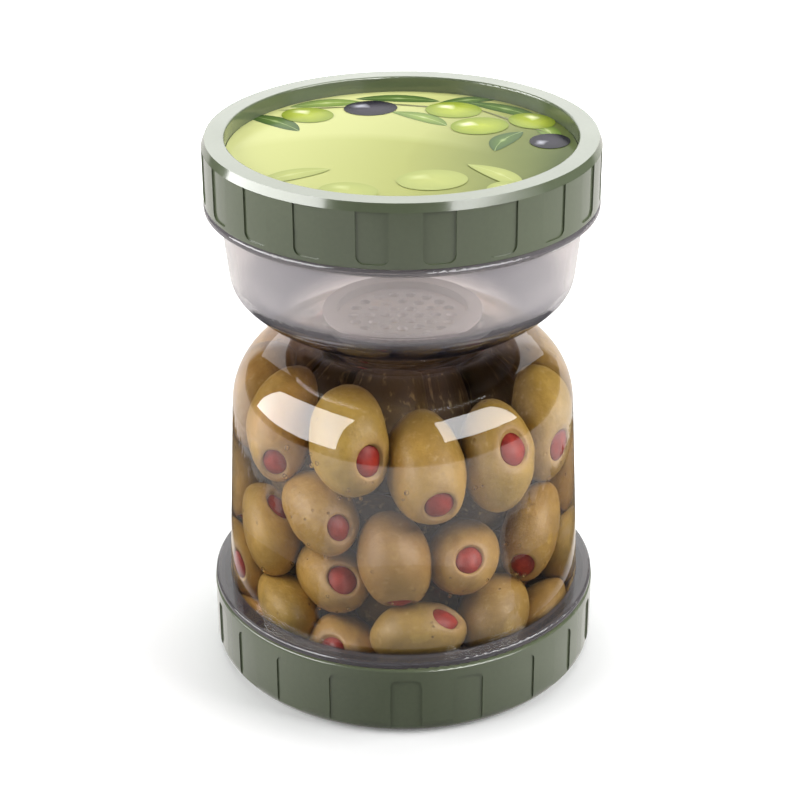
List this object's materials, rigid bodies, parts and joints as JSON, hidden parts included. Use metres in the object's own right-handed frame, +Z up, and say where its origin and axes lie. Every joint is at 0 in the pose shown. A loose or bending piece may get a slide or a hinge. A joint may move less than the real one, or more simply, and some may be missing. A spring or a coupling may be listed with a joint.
{
  "type": "olive and pickle jar",
  "caption": "Hourglass flip jar: two clear tinted jars on one narrow neck with a strainer between them, a green screw lid on each end, stuffed olives in brine in the lower jar.",
  "frame": {"origin": "centre of the base, on the surface the jar stands on", "axes": "+Z up along the jar's axis; -Y is the side with the nub on the neck"},
  "size_m": [0.114, 0.114, 0.1606],
  "materials": {
    "lid_plastic": "glossy moulded sage green plastic",
    "print": "glossy printed disc, yellow-green field with plain leaves and fruit",
    "clear_plastic": "clear plastic with a faint smoky violet tint",
    "strainer_plastic": "clear smoky plastic",
    "olive": "wet olive skin, tan yellow-green with red stuffing",
    "brine": "clear brownish brine"
  },
  "bodies": {
    "root": {"base_lid": "lid_plastic", "top_lid": "lid_plastic", "printed_disc": "print", "lower_jar": "clear_plastic", "upper_jar": "clear_plastic", "strainer": "strainer_plastic", "olives": "olive", "brine": "brine"}
  },
  "joints": []
}
